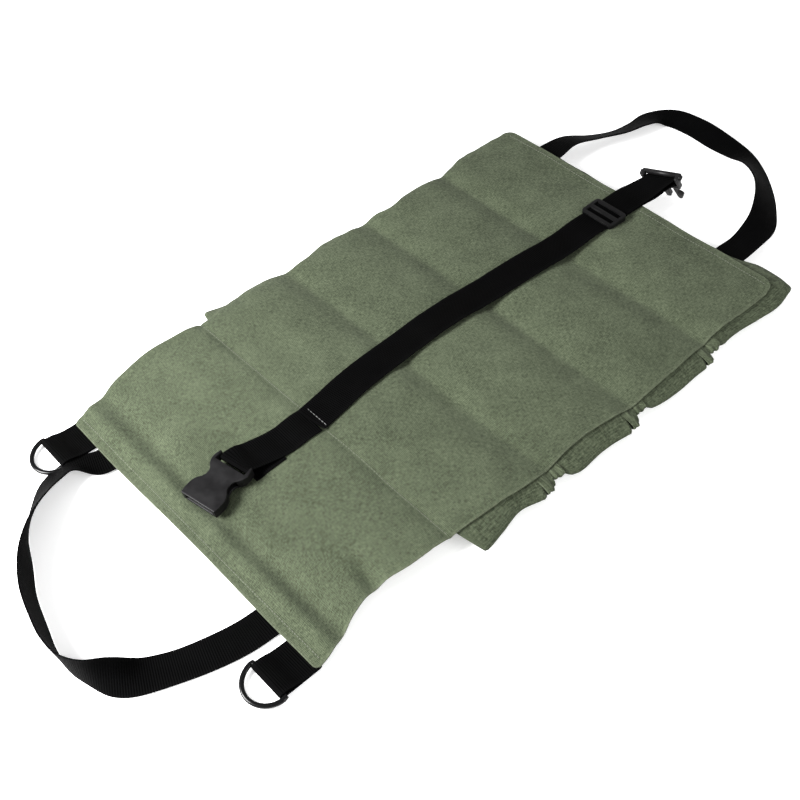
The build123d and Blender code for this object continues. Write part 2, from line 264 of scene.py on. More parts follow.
def plate(name, outline, low, high, place, finish, soften=0.6, rounding=1.5, cutters=(), joined=()):
    # a moulded plate: an outline raised from low to high, its edges softened
    shape = roundOutline(outline, rounding) if rounding else [Vector(p) for p in outline]
    count = len(shape)
    points = [(p.x, p.y, low) for p in shape] + [(p.x, p.y, high) for p in shape]
    faces = [tuple(reversed(range(count))), tuple(range(count, 2 * count))]
    faces += [(i, (i + 1) % count, count + (i + 1) % count, count + i) for i in range(count)]
    if sum(a.x * b.y - b.x * a.y for a, b in zip(shape, shape[1:] + shape[:1])) < 0:
        faces = [tuple(reversed(f)) for f in faces]
    piece = makePiece(name, points, faces, finish)
    for kind, others in (("UNION", joined), ("DIFFERENCE", cutters)):
        for other in others:
            tool = piece.modifiers.new("shape", "BOOLEAN")
            tool.operation = kind
            tool.object = other
            tool.solver = "EXACT"
    if soften:
        edge = piece.modifiers.new("soften", "BEVEL")
        edge.width = soften * mm
        edge.segments = 3
        edge.limit_method = "ANGLE"
        edge.angle_limit = math.radians(38)
        edge.harden_normals = False
    settle(piece)
    for other in list(cutters) + list(joined):
        bpy.data.objects.remove(other)
    piece.data.transform(place)
    return piece


def settle(piece):
    # apply every modifier, then shade flats flat and curves smooth
    bpy.context.view_layer.update()
    shaped = bpy.data.meshes.new_from_object(piece.evaluated_get(bpy.context.evaluated_depsgraph_get()))
    piece.modifiers.clear()
    piece.data = shaped
    shaped.shade_smooth()
    shaped.set_sharp_from_angle(angle=math.radians(46))


def boxShape(x0, x1, y0, y1, z0, z1, name="cutter"):
    corners = [(x0, y0), (x1, y0), (x1, y1), (x0, y1)]
    points = [(x, y, z0) for x, y in corners] + [(x, y, z1) for x, y in corners]
    faces = [(3, 2, 1, 0), (4, 5, 6, 7), (0, 1, 5, 4), (1, 2, 6, 5), (2, 3, 7, 6), (3, 0, 4, 7)]
    return makePiece(name, points, faces, plain)


def rod(name, start, end, radius, finish, sides=20):
    # a straight round bar in its own frame
    a = Vector(start)
    b = Vector(end)
    way = (b - a).normalized()
    first = way.orthogonal().normalized()
    second = way.cross(first)
    points = []
    for centre in (a, b):
        for k in range(sides):
            angle = 2 * math.pi * k / sides
            points.append(centre + (first * math.cos(angle) + second * math.sin(angle)) * radius)
    faces = [(k, (k + 1) % sides, sides + (k + 1) % sides, sides + k) for k in range(sides)]
    faces += [tuple(reversed(range(sides))), tuple(range(sides, 2 * sides))]
    return makePiece(name, [tuple(p) for p in points], faces, finish)


def loopWire(name, path, wide, tall, place, finish, squareness=2.0, sides=14):
    # a closed bar swept round a flat path
    rows = np.array(path, float)
    count = len(rows)
    tangent = np.roll(rows, -1, axis=0) - np.roll(rows, 1, axis=0)
    tangent /= np.linalg.norm(tangent, axis=1, keepdims=True)
    out = np.stack([tangent[:, 1], -tangent[:, 0]], axis=1)
    points = []
    for i in range(count):
        for k in range(sides):
            angle = 2 * math.pi * k / sides
            c = math.copysign(abs(math.cos(angle)) ** (2 / squareness), math.cos(angle)) * wide / 2
            s = math.copysign(abs(math.sin(angle)) ** (2 / squareness), math.sin(angle)) * tall / 2
            points.append((rows[i, 0] + out[i, 0] * c, rows[i, 1] + out[i, 1] * c, s))
    faces = []
    for i in range(count):
        for k in range(sides):
            a = i * sides + k
            b = i * sides + (k + 1) % sides
            c = ((i + 1) % count) * sides + (k + 1) % sides
            d = ((i + 1) % count) * sides + k
            faces.append((a, b, c, d))
    piece = makePiece(name, points, [tuple(reversed(f)) for f in faces], finish)
    piece.data.transform(place)
    return piece


def placed(x, y, z, turn=None):
    spot = Matrix.Translation(Vector((x, y, z)) * mm)
    return spot if turn is None else spot @ turn


def beadRow(name, spots, ways, length, thick, finish):
    # one stitch at each spot, lying along its way
    points = []
    faces = []
    for spot, way in zip(spots, ways):
        way = Vector(way).normalized()
        side = way.cross(Vector((0, 0, 1))).normalized()
        up = side.cross(way)
        first = len(points)
        spot = Vector(spot)
        for along, size in ((-0.5, 0.25), (-0.3, 1.0), (0.3, 1.0), (0.5, 0.25)):
            for k in range(5):
                angle = 2 * math.pi * k / 5
                ring = (side * math.cos(angle) + up * math.sin(angle)) * thick / 2 * size
                points.append(tuple(spot + way * length * along + ring))
        for r in range(3):
            for k in range(5):
                a = first + r * 5 + k
                b = first + r * 5 + (k + 1) % 5
                faces.append((a, b, b + 5, a + 5))
        faces.append(tuple(first + 4 - k for k in range(5)))
        faces.append(tuple(first + 15 + k for k in range(5)))
    return makePiece(name, points, faces, finish)


# finishes

finishValues = {
    "canvas": {"light": (0.082, 0.0985, 0.0605), "dark": (0.024, 0.0300, 0.0170), "thread": 1.3},
    "webbing": {"light": (0.0016, 0.0016, 0.0017), "dark": (0.0003, 0.0003, 0.0003), "rib": 2.0},
    "thread": (0.088, 0.098, 0.066),
    "strapThread": (0.10, 0.105, 0.098),
    "tape": (0.040, 0.048, 0.030),
    "zipMetal": (0.42, 0.40, 0.36),
    "ringMetal": (0.0022, 0.0022, 0.0024),
    "plastic": (0.0040, 0.0038, 0.0041),
    "glidePlastic": (0.0015, 0.0015, 0.0016),
}


class Nodes:
    # short words for building a node tree
    def __init__(self, name):
        self.material = bpy.data.materials.new(name)
        self.material.use_nodes = True
        self.tree = self.material.node_tree
        self.shader = self.tree.nodes["Principled BSDF"]

    def add(self, kind, **settings):
        node = self.tree.nodes.new(kind)
        for key, value in settings.items():
            setattr(node, key, value)
        return node

    def join(self, out, into):
        self.tree.links.new(out, into)

    def math(self, kind, a, b=None, clamp=False):
        node = self.add("ShaderNodeMath", operation=kind, use_clamp=clamp)
        for k, value in enumerate((a, b)):
            if value is None:
                continue
            if isinstance(value, (int, float)):
                node.inputs[k].default_value = value
            else:
                self.join(value, node.inputs[k])
        return node.outputs[0]

    def noise(self, where, scale, detail=3.0, rough=0.55):
        node = self.add("ShaderNodeTexNoise")
        node.inputs["Scale"].default_value = scale
        node.inputs["Detail"].default_value = detail
        node.inputs["Roughness"].default_value = rough
        self.join(where, node.inputs["Vector"])
        return node.outputs["Fac"]

    def stretched(self, where, x, y):
        node = self.add("ShaderNodeMapping")
        node.inputs["Scale"].default_value = (x, y, 1)
        self.join(where, node.inputs["Vector"])
        return node.outputs[0]

    def waves(self, where, axis, period, bend=0.0):
        # smooth lines one period in metres apart
        node = self.add("ShaderNodeTexWave", wave_type="BANDS", bands_direction=axis)
        node.inputs["Scale"].default_value = 0.314159 / period
        node.inputs["Distortion"].default_value = bend
        node.inputs["Detail Scale"].default_value = 0.12 / period
        self.join(where, node.inputs["Vector"])
        return node.outputs["Fac"]

    def blend(self, amount, first, second):
        node = self.add("ShaderNodeMix", data_type="RGBA")
        if isinstance(amount, (int, float)):
            node.inputs[0].default_value = amount
        else:
            self.join(amount, node.inputs[0])
        for socket, value in ((node.inputs[6], first), (node.inputs[7], second)):
            if isinstance(value, tuple):
                socket.default_value = (*value, 1)
            else:
                self.join(value, socket)
        return node.outputs[2]

    def span(self, value, low, high, newLow, newHigh):
        node = self.add("ShaderNodeMapRange")
        self.join(value, node.inputs["Value"])
        for key, number in zip(("From Min", "From Max", "To Min", "To Max"), (low, high, newLow, newHigh)):
            node.inputs[key].default_value = number
        return node.outputs[0]

    def bumps(self, height, depth, strength):
        node = self.add("ShaderNodeBump")
        node.inputs["Strength"].default_value = strength
        node.inputs["Distance"].default_value = depth
        self.join(height, node.inputs["Height"])
        self.join(node.outputs[0], self.shader.inputs["Normal"])

    def clothUv(self):
        return self.add("ShaderNodeUVMap", uv_map="cloth").outputs[0]

    def place(self):
        return self.add("ShaderNodeTexCoord").outputs["Object"]

    def wearAndHighlight(self):
        return self.add("ShaderNodeAttribute", attribute_name="wearAndHighlight").outputs["Fac"]


def canvasFinish():
    values = finishValues["canvas"]
    n = Nodes("sageCanvas")
    uv = n.clothUv()
    warp = n.waves(uv, "X", values["thread"] * mm, 0.9)
    weft = n.waves(uv, "Y", values["thread"] * mm, 0.9)
    weave = n.math("MULTIPLY", warp, weft)
    slub = n.noise(uv, 800, 4.0, 0.7)  # uneven yarn
    along = n.noise(n.stretched(uv, 1.0, 0.22), 1000, 2.0, 0.6)
    across = n.noise(n.stretched(uv, 0.22, 1.0), 1000, 2.0, 0.6)
    cloud = n.noise(uv, 42, 3.0)
    fade = n.noise(uv, 7, 2.0)
    yarn = n.math("ADD", n.span(along, 0.3, 0.7, -0.3, 0.3), n.span(across, 0.3, 0.7, -0.3, 0.3))
    tone = n.math("ADD", n.span(slub, 0.3, 0.7, -0.3, 0.3), n.span(weave, 0, 1, -0.16, 0.2))
    tone = n.math("ADD", tone, yarn)
    tone = n.math("ADD", tone, n.span(cloud, 0.3, 0.7, -0.12, 0.12))
    tone = n.math("ADD", tone, n.span(fade, 0.3, 0.7, -0.1, 0.1))
    tone = n.math("ADD", tone, 0.5, clamp=True)
    colour = n.blend(tone, values["dark"], values["light"])
    # painted highlight: the marked edges and hem folds turn a lighter sage, standing in for light on the folded
    # edge, with some edge wear
    lighterEdges = n.math("MULTIPLY", n.wearAndHighlight(), n.span(slub, 0.35, 0.65, 0.15, 0.5))
    colour = n.blend(lighterEdges, colour, (0.098, 0.112, 0.074))
    n.join(colour, n.shader.inputs["Base Color"])
    n.join(n.span(slub, 0.2, 0.8, 0.86, 0.98), n.shader.inputs["Roughness"])
    n.shader.inputs["Specular IOR Level"].default_value = 0.06
    n.shader.inputs["Sheen Weight"].default_value = 0.03
    n.shader.inputs["Sheen Roughness"].default_value = 0.6
    threads = n.math("MULTIPLY", n.math("ADD", along, across), 0.6)
    n.bumps(n.math("ADD", n.math("MULTIPLY", weave, 0.8), threads), 0.0005, 0.7)
    return n.material


def webbingFinish():
    values = finishValues["webbing"]
    n = Nodes("blackWebbing")
    uv = n.clothUv()
    ribs = n.waves(uv, "X", values["rib"] * mm, 0.25)
    warp = n.waves(uv, "Y", 1.1 * mm, 0.5)
    fuzz = n.noise(uv, 900, 3.0, 0.7)
    cloud = n.noise(uv, 60, 2.0)
    height = n.math("ADD", n.math("MULTIPLY", ribs, 0.75), n.math("MULTIPLY", warp, 0.25))
    tone = n.math("ADD", n.math("MULTIPLY", height, 0.55), n.span(fuzz, 0.3, 0.7, 0.0, 0.3))
    tone = n.math("ADD", tone, n.span(cloud, 0.3, 0.7, -0.1, 0.15), clamp=True)
    colour = n.blend(tone, values["dark"], values["light"])
    # the marked edges turn lighter: edge wear, with a painted highlight on the rim
    lighterEdges = n.math("MULTIPLY", n.wearAndHighlight(), 0.5)
    colour = n.blend(lighterEdges, colour, (0.0024, 0.0024, 0.0025))
    n.join(colour, n.shader.inputs["Base Color"])
    n.join(n.span(fuzz, 0.2, 0.8, 0.62, 0.82), n.shader.inputs["Roughness"])
    n.shader.inputs["Specular IOR Level"].default_value = 0.015
    n.shader.inputs["Sheen Weight"].default_value = 0.001
    n.shader.inputs["Sheen Roughness"].default_value = 0.4
    n.bumps(height, 0.00055, 0.8)
    return n.material


def threadFinish(name, colour):
    n = Nodes(name)
    grain = n.noise(n.place(), 2600, 2.0)
    darker = tuple(0.62 * c for c in colour)
    n.join(n.blend(n.span(grain, 0.35, 0.65, 0, 1), darker, colour), n.shader.inputs["Base Color"])
    n.shader.inputs["Roughness"].default_value = 0.7
    n.shader.inputs["Sheen Weight"].default_value = 0.15
    n.bumps(grain, 0.0001, 0.4)
    return n.material


def tapeFinish():
    colour = finishValues["tape"]
    n = Nodes("zipTape")
    uv = n.clothUv()
    twill = n.waves(uv, "DIAGONAL", 0.8 * mm, 0.3)
    grain = n.noise(uv, 700, 3.0)
    tone = n.math("ADD", n.math("MULTIPLY", twill, 0.6), n.math("MULTIPLY", grain, 0.5), clamp=True)
    n.join(n.blend(tone, tuple(0.5 * c for c in colour), colour), n.shader.inputs["Base Color"])
    n.shader.inputs["Roughness"].default_value = 0.8
    n.shader.inputs["Sheen Weight"].default_value = 0.08
    n.bumps(twill, 0.0002, 0.5)
    return n.material


def metalFinish(name, colour, metallic, rough, coat=0.0, gloss=0.5):
    n = Nodes(name)
    spot = n.place()
    scratches = n.noise(spot, 900, 6.0, 0.7)
    cloud = n.noise(spot, 120, 3.0)
    edges = n.add("ShaderNodeNewGeometry").outputs["Pointiness"]
    worn = n.span(edges, 0.52, 0.6, 0, 1)
    lighterEdges = n.math("MULTIPLY", worn, n.span(scratches, 0.45, 0.7, 0, 0.5), clamp=True)
    brighter = tuple(min(1, 2.4 * c + 0.03) for c in colour)
    body = n.blend(n.span(cloud, 0.3, 0.7, 0, 1), tuple(0.8 * c for c in colour), colour)
    n.join(n.blend(lighterEdges, body, brighter), n.shader.inputs["Base Color"])
    n.join(n.span(scratches, 0.3, 0.7, rough * 0.8, rough * 1.3), n.shader.inputs["Roughness"])
    n.shader.inputs["Metallic"].default_value = metallic
    n.shader.inputs["Specular IOR Level"].default_value = gloss
    n.shader.inputs["Coat Weight"].default_value = coat
    n.shader.inputs["Coat Roughness"].default_value = 0.12
    n.bumps(scratches, 0.00004, 0.25)
    return n.material


def plasticFinish(name, colour):
    n = Nodes(name)
    spot = n.place()
    grain = n.noise(spot, 3200, 2.0, 0.6)  # fine spark texture of the mould
    cloud = n.noise(spot, 90, 3.0)
    edges = n.add("ShaderNodeNewGeometry").outputs["Pointiness"]
    worn = n.span(edges, 0.51, 0.58, 0, 1)
    lighterEdges = n.math("MULTIPLY", worn, n.span(cloud, 0.35, 0.65, 0.1, 0.45), clamp=True)
    darker = tuple(0.78 * c for c in colour)
    lighter = tuple(1.25 * c for c in colour)
    body = n.blend(n.span(cloud, 0.3, 0.7, 0, 1), darker, lighter)
    n.join(n.blend(lighterEdges, body, (0.014, 0.0135, 0.014)), n.shader.inputs["Base Color"])
    n.join(n.span(cloud, 0.3, 0.7, 0.36, 0.5), n.shader.inputs["Roughness"])
    n.shader.inputs["Specular IOR Level"].default_value = 0.16
    n.bumps(grain, 0.00006, 0.35)
    return n.material


plain = bpy.data.materials.new("plainShape")
canvas = canvasFinish()
webbing = webbingFinish()
thread = threadFinish("sageThread", finishValues["thread"])
strapThread = threadFinish("paleThread", finishValues["strapThread"])
zipTape = tapeFinish()
zipMetal = metalFinish("zipNickel", finishValues["zipMetal"], 1.0, 0.32)
ringMetal = metalFinish("blackRing", finishValues["ringMetal"], 0.2, 0.22, 0.12, 0.12)
buckle = plasticFinish("buckleNylon", finishValues["plastic"])
glide = plasticFinish("glideNylon", finishValues["glidePlastic"])
print("finishes made")


# back canvas and flap

cloth = {
    "thick": 1.3,
    "hemThick": 2.0,
    "hemWide": 9.0,
    "gridStep": 3.4,
    "rightEdge": [
        (-301, -175), (-286, -174.5), (-268, -168), (-252, -162), (-224, -156), (-187, -162),
        (-150, -165), (-105, -169), (-72, -172), (-29, -171.6), (-14, -170.4), (22, -172),
        (67, -176), (105, -175.7), (174, -171.7), (255, -173), (269, -172),
    ],
    "leftEdge": [
        (-301, 175), (-284, 178), (-241, 189), (-200, 192), (-169, 187.5), (-145, 184.7),
        (-96, 189.7), (-66, 189.6), (-43, 184.7), (-21, 182), (3, 186.8), (47, 181), (73, 182),
        (90, 178), (120, 182), (171, 180), (199, 185), (233, 183), (269, 181),
    ],
    "cornerRound": 13.0,
    "flapSwells": [  # size, middle and half width along x, the same along y
        (2.4, -190, 28, -60, 60), (3.2, -240, 20, -176, 22), (-2.2, -232, 20, 38, 30), (1.6, -225, 40, 120, 60),
    ],
    "splits": [nearHem, -166.0, -96.75, 7.75, 112.25, farHem],
}
rightEdge = edgeLine(cloth["rightEdge"])
leftEdge = edgeLine(cloth["leftEdge"])


def canvasHeight(x, y):
    # top of the back and flap, with the sag and pull of real cloth
    down = np.maximum(foldLine - x, 0)
    slope = np.sqrt(down**2 + 6.0**2) - 6.0
    z = roof - slope * math.tan(flapSlope)
    side = np.abs(y) / 175.0
    for i, seam in enumerate(seams[1:-1]):
        depth = 3.0 + 0.6 * ripple(y, 0 * y, 150, 11 + i)
        z = z - depth * hump(x + 3 * ripple(y, 0 * y, 120, 20 + i), seam, 13.0)
        z = z - 0.8 * hump(x, seam, 3.4)
    for i in range(4):
        z = z + 1.9 * hump(x, seamMiddle(i), 34) * (1 - 0.5 * side**2)
    onBack = 1 / (1 + np.exp(-(x - foldLine) / 4))
    z = z - 1.6 * hump(x, crossLine, 2.4) * (0.45 + 0.55 * side)  # crease of the cross stitching
    z = z - 1.2 * hump(x, crossLine, 11.0)
    z = z + 0.75 * ripple(x, y, 95, 3) + 0.3 * ripple(x, y, 38, 4)
    z = z - 1.0 * onBack * np.clip(side, 0, 1.1) ** 22  # the edge rolls over to the bellows
    onFlap = 1 - onBack
    valley = hump(x + 3.0 * ripple(y, 0 * y, 160, 8), -265.0, 8.0) * (0.7 + 0.3 * hump(y, -120, 60))
    z = z - 3.6 * onFlap * valley
    z = z + 3.6 * onFlap * hump(x, -284.0, 8.5)  # the hem stands up beside its valley
    z = z - 5.4 * onFlap * hump(x - (y + 140) * 0.18, -219.0, 8.0) * hump(y, -146, 22)
    for size, middleX, halfX, middleY, halfY in cloth["flapSwells"]:
        z = z + size * onFlap * hump(x, middleX, halfX) * hump(y, middleY, halfY)
    overTabs = hump(y, 157, 24) + hump(y, -157, 24)
    z = z + 1.5 * hump(x, nearHem, 16) * overTabs
    wanted = 3.7 + 1.5 * overTabs
    atHem = np.clip((x - nearHem) / 22.0, 0, 1)
    z = z * atHem + wanted * (1 - atHem)
    puckers = hump(y, 184, 9) + 0.7 * hump(y, -172, 8)
    z = z + 0.55 * onBack * puckers * ripple(x, 0 * x, 21, 31)
    return np.maximum(z, 3.0)


def heightAt(x, y):
    return float(canvasHeight(np.array([x]), np.array([y]))[0])


def roundCorner(x, y, cornerX, cornerY, radius):
    # draw points outside the corner's arc back onto it
    sx = math.copysign(1, cornerX)
    sy = math.copysign(1, cornerY)
    dx = (x - (cornerX - sx * radius)) * sx
    dy = (y - (cornerY - sy * radius)) * sy
    far = np.hypot(dx, dy)
    out = (dx > 0) & (dy > 0) & (far > radius)
    scale = np.where(out, radius / np.maximum(far, 1e-6), 1.0)
    return (
        np.where(out, cornerX - sx * radius + sx * dx * scale, x),
        np.where(out, cornerY - sy * radius + sy * dy * scale, y),
    )


def canvasPieces():
    farBand = farHem - cloth["hemWide"]
    stops = sorted(cloth["splits"] + [nearHem + cloth["hemWide"], crossLine, farBand])
    xs = spread(stops, cloth["gridStep"])
    vs = np.linspace(-1, 1, 111)
    x, v = np.meshgrid(xs, vs, indexing="ij")
    y = rightEdge(x) + (leftEdge(x) - rightEdge(x)) * (v + 1) / 2
    cloth["uv"] = rowsOf(x, v * 175)
    x, y = roundCorner(x, y, farHem, float(rightEdge(farHem)), cloth["cornerRound"])
    x, y = roundCorner(x, y, farHem, float(leftEdge(farHem)), 9.0)
    x, y = roundCorner(x, y, nearHem, -175.0, 4.0)
    x, y = roundCorner(x, y, nearHem, 175.0, 4.0)
    x = x + 0.8 * ripple(y, 0 * y, 170, 41) * (hump(x, nearHem, 20) + hump(x, farHem, 20))
    z = canvasHeight(x, y)
    hem = (x < nearHem + cloth["hemWide"]) | (x > farBand)
    thick = np.where(hem, cloth["hemThick"], cloth["thick"])
    z = z - thick / 2 + np.where(hem, 0.35, 0.0)
    points = rowsOf(x, y, z)
    faces = gridFaces(len(xs), len(vs))
    normals = surfaceNormals(points, faces)
    # side edges and hem folds marked lighter: a painted highlight on the folded edge, with some edge wear
    edge = np.clip((np.abs(v) - 0.985) / 0.015, 0, 1)
    ends = np.clip(1 - np.minimum(np.abs(xs - nearHem), np.abs(xs - farHem)) / 3.0, 0, 1)
    wearAndHighlight = np.maximum(edge, ends[:, None]).ravel() * 0.8
    names = ["flapCanvas", "foldCanvas", "backCanvasA", "backCanvasB", "backCanvasC"]
    made = []
    column = np.repeat(np.arange(len(xs)), len(vs))
    for name, low, high in zip(names, cloth["splits"], cloth["splits"][1:]):
        first = int(np.argmin(np.abs(xs - low)))
        last = int(np.argmin(np.abs(xs - high)))
        mine = (column[faces].min(axis=1) >= first) & (column[faces].max(axis=1) <= last)
        cut = ((column == first) & (low > nearHem)) | ((column == last) & (high < farHem))
        made.append(fabric(name, points, faces[mine], cloth["uv"], thick.ravel(), canvas, normals, cut, wearAndHighlight))
    return made


flapCanvas, foldCanvas, backA, backB, backC = canvasPieces()
print("back canvas and flap made")


def stitchLine(name, start, end, pitch, length, finish, lift=0.35, wander=0.0, thick=0.7):
    # a row of stitches that lies on the canvas from start to end
    a = np.array(start, float)
    b = np.array(end, float)
    count = int(np.linalg.norm(b - a) / pitch)
    share = (np.arange(count) + 0.5) / count
    spots = a + (b - a) * share[:, None]
    if wander:
        spots[:, 0] += wander * ripple(spots[:, 1], 0 * spots[:, 1], 90, len(name))
    z = canvasHeight(spots[:, 0], spots[:, 1]) + lift
    rows = np.column_stack([spots, z])
    ways = np.gradient(rows, axis=0)
    return beadRow(name, rows, ways, length, thick, finish)


hemStitches = {"pitch": 3.2, "length": 2.3, "inset": 7.2, "near": (-171, 171), "far": (-166, 173)}
crossStitches = {"pitch": 3.4, "length": 2.4, "right": (-161, -8), "left": (28, 180)}


def hemRow(name, x, span):
    a, b = span
    return stitchLine(name, (x, a), (x, b), hemStitches["pitch"], hemStitches["length"], thread, 0.4)


def crossRow(name, span):
    start, end = [(crossLine, y) for y in span]
    return stitchLine(name, start, end, crossStitches["pitch"], crossStitches["length"], thread, 0.0, 0.5)


nearStitches = hemRow("nearHemStitches", nearHem + hemStitches["inset"], hemStitches["near"])
farStitches = hemRow("farHemStitches", farHem - hemStitches["inset"], hemStitches["far"])
crossRight = crossRow("crossStitchesRight", crossStitches["right"])
crossLeft = crossRow("crossStitchesLeft", crossStitches["left"])


# pockets

pocket = {
    "lean": math.tan(math.radians(46)),
    "rim": 4.4,
    "high": 17.6,
    "low": 1.3,
    "thick": 1.2,
    "around": 4.0,
    "levels": 13,
    "faceSide": 171.0,
    "rightOut": [
        (-150, 186), (-138, 190), (-112, 187), (-84, 182.5), (-66, 187), (-52, 190), (-36, 184), (-22, 189),
        (10, 188), (38, 191), (52, 193.5), (68, 184), (80, 186.5), (110, 189), (146, 189.5),
        (157, 191), (173, 184), (205, 181), (230, 185), (262, 186), (285, 182),
    ],
    "leftOut": [
        (-150, 196), (-136, 200), (-118, 195), (-84, 186), (-53, 187), (-36, 184), (10, 184),
        (50, 187), (70, 182), (110, 182), (150, 187), (172, 181), (225, 183), (285, 184),
    ],
    "corner": {"y": -150.0, "swell": 10.0},  # the far right corner puffs out past the hem
}
rightOut = edgeLine(pocket["rightOut"])
leftOut = edgeLine(pocket["leftOut"])


def pocketPath(step):
    # round the pocket: share along x and share across y, each from -1 to 1
    corner = 0.055
    path = []
    parts = int(210 / step)
    wall = int(350 / step)
    for s in np.linspace(-1 + corner * 2, 1 - corner * 2, parts // 2):
        path.append((s, -1.0))
    path.append((1 - corner * 0.5, -1 + corner * 0.12))
    for s in np.linspace(-1 + corner, 1 - corner, wall):
        path.append((1.0, s))
    path.append((1 - corner * 0.5, 1 - corner * 0.12))
    for s in np.linspace(1 - corner * 2, -1 + corner * 2, parts // 2):
        path.append((s, 1.0))
    path.append((-1 + corner * 0.5, 1 - corner * 0.12))
    for s in np.linspace(1 - corner, -1 + corner, wall):
        path.append((-1.0, s))
    path.append((-1 + corner * 0.5, -1 + corner * 0.12))
    return np.array(path)


def bellows(i):
    last = i == 3
    path = pocketPath(pocket["around"])
    a = path[:, 0][:, None]
    b = path[:, 1][:, None]
    v = np.linspace(0, 1, pocket["levels"])[None, :]
    z = pocket["high"] + (pocket["low"] - pocket["high"]) * v + 0 * a
    drop = roof - z
    nearX = seams[i] + pocket["rim"] + (drop - 2.4) * pocket["lean"]
    if last:
        swell = 1 / (1 + np.exp((b * 175 - pocket["corner"]["y"] - 22) / 7))
        farX = farHem - 2.2 + 11.0 * np.sin(math.pi * v) ** 0.8 + 0 * a
        farX = farX + pocket["corner"]["swell"] * swell * np.sin(math.pi * v**0.6) ** 0.7
    else:
        farX = seams[i + 1] - pocket["rim"] - (drop - 2.4) * pocket["lean"]
    x = nearX + (farX - nearX) * (a + 1) / 2
    flare = 1 - np.abs(2 * v - 1)
    flare = flare * (2 - flare) * 0.5 + flare * 0.5  # a soft V
    topRight = -rightEdge(x) - 2.6
    topLeft = leftEdge(x) - 2.6
    bottom = pocket["faceSide"] + 1.0
    rightBase = topRight + (bottom - topRight) * v
    leftBase = topLeft + (bottom - topLeft) * v
    pleat = np.exp(-(1 - np.abs(a)) * 9.0)
    folds = 1.3 * pleat * np.sin(7.0 * a + 5.0 * v + 1.3 * i) + 0.55 * ripple(x, z * 2.2, 42, 60 + i)
    folds = folds * np.sin(math.pi * v) ** 0.7
    rightFull = rightBase + (rightOut(x) - rightBase) * flare + folds
    leftFull = leftBase + (leftOut(x) - leftBase) * flare + folds * 0.8
    y = -rightFull + (leftFull + rightFull) * (b + 1) / 2
    under = canvasHeight(x, y) - 1.8 - pocket["high"]
    lift = np.clip(under, -3.0, 3.0) * (1 - v) ** 3  # the top follows the canvas over it
    z = z + lift
    x = x + a * lift * pocket["lean"]
    wallFold = 1.5 * np.abs(ripple(y, z * 2.0, 70, 80 + i)) * np.sin(math.pi * v) * (np.abs(a) > 0.97)
    x = x - np.sign(a) * wallFold  # inward, so that neighbours clear each other when the roll folds
    top = canvasHeight(x, y) - cloth["thick"] - 0.7
    z = np.minimum(z, np.where(v < 0.2, top, z))
    points = rowsOf(x, y, z)
    faces = gridFaces(len(path), pocket["levels"], wrap=True)
    run = runAlong(points[:: pocket["levels"]])
    uv = np.stack([np.repeat(run, pocket["levels"]), np.tile(v[0] * 24, len(path))], axis=1)
    return fabric(f"pocketBellows{i + 1}", points, faces[:, ::-1], uv, pocket["thick"], canvas, puff=0.2)


pleats = {"half": 12.5, "pitch": 5.6, "ridge": 2.1, "pinch": 0.72, "low": 4.0, "leftShare": 0.72}


def seamPleat(i, side):
    # the bellows' tucks where two pockets meet at a seam
    seam = seams[i]
    xl = np.linspace(-pleats["half"], pleats["half"], 37)[:, None]
    v = np.linspace(0, 1, 11)[None, :]
    edge = leftEdge(seam + xl) if side > 0 else -rightEdge(seam + xl)
    out = leftOut(seam + xl) if side > 0 else rightOut(seam + xl)
    base = edge - 2.2 - 6.0 * v
    flare = np.sin(math.pi * v**0.75) ** 0.8
    pinch = 1 - (1 - pleats["pinch"]) * hump(xl, 1.5, 5.0)
    reach = (out - 1.5 - base) * pinch * flare * (pleats["leftShare"] if side > 0 else 1.0)
    turns = 2 * math.pi * xl / pleats["pitch"] + 0.8 * i + 2.0 * v
    ridges = pleats["ridge"] * np.cos(turns) * hump(xl, 0, 8.5)
    y = side * (base + reach + ridges * flare)
    top = canvasHeight(seam + xl, side * (edge - 2.2)) - 1.9
    z = top + (pleats["low"] - top) * v + 0.8 * np.sin(xl * 0.6) * flare
    x = seam + xl + 1.2 * np.sin(v * 5.0 + i) * hump(xl, 0, 7)
    x, y, z = np.broadcast_arrays(x, y, z)
    points = rowsOf(x, y, z)
    uv = rowsOf(x, z * 1.6)
    faces = gridFaces(37, 11)
    name = f"seamPleat{i}{'Left' if side > 0 else 'Right'}"
    piece = fabric(name, points, faces if side < 0 else faces[:, ::-1], uv, 1.0, canvas)
    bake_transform(piece)
    return piece


def pocketFace(i):
    # the bottom panel, open along its zip
    last = i == 3
    middle = seamMiddle(i)
    low = seams[i] + 21.3
    high = farHem - 1.6 if last else seams[i + 1] - 21.3
    xs = spread([low, middle - 12, middle - 8.6, middle + 8.6, middle + 12, high], 4.2)
    ys = spread([-pocket["faceSide"], -155.4, 155.4, pocket["faceSide"]], 4.4)
    x, y = np.meshgrid(xs, ys, indexing="ij")
    away = np.clip((np.abs(x - middle) - 13.5) / 8, 0, 1)
    z = 1.3 + away * np.clip(0.5 + 0.7 * ripple(x, y, 60, 100 + i), 0, 2.5)
    midX = (x[:-1, :-1] + x[1:, 1:]) / 2
    midY = (y[:-1, :-1] + y[1:, 1:]) / 2
    hole = (np.abs(midX - middle) < 8.6) & (np.abs(midY) < 155.4)
    points = rowsOf(x, y, z)
    faces = gridFaces(len(xs), len(ys), skip=hole)
    uv = rowsOf(x, y)
    return fabric(f"pocketFace{i + 1}", points, faces, uv, 1.2, canvas)


zipper = {
    "halfLength": 155.0, "slit": 2.6, "tooth": 1.4, "toothPitch": 2.3, "toothLong": 1.35,
    "low": 1.6, "high": 3.4, "tapeIn": 3.4, "tapeOut": 13.0, "tapeZ": 2.3, "tapeThick": 0.6,
}


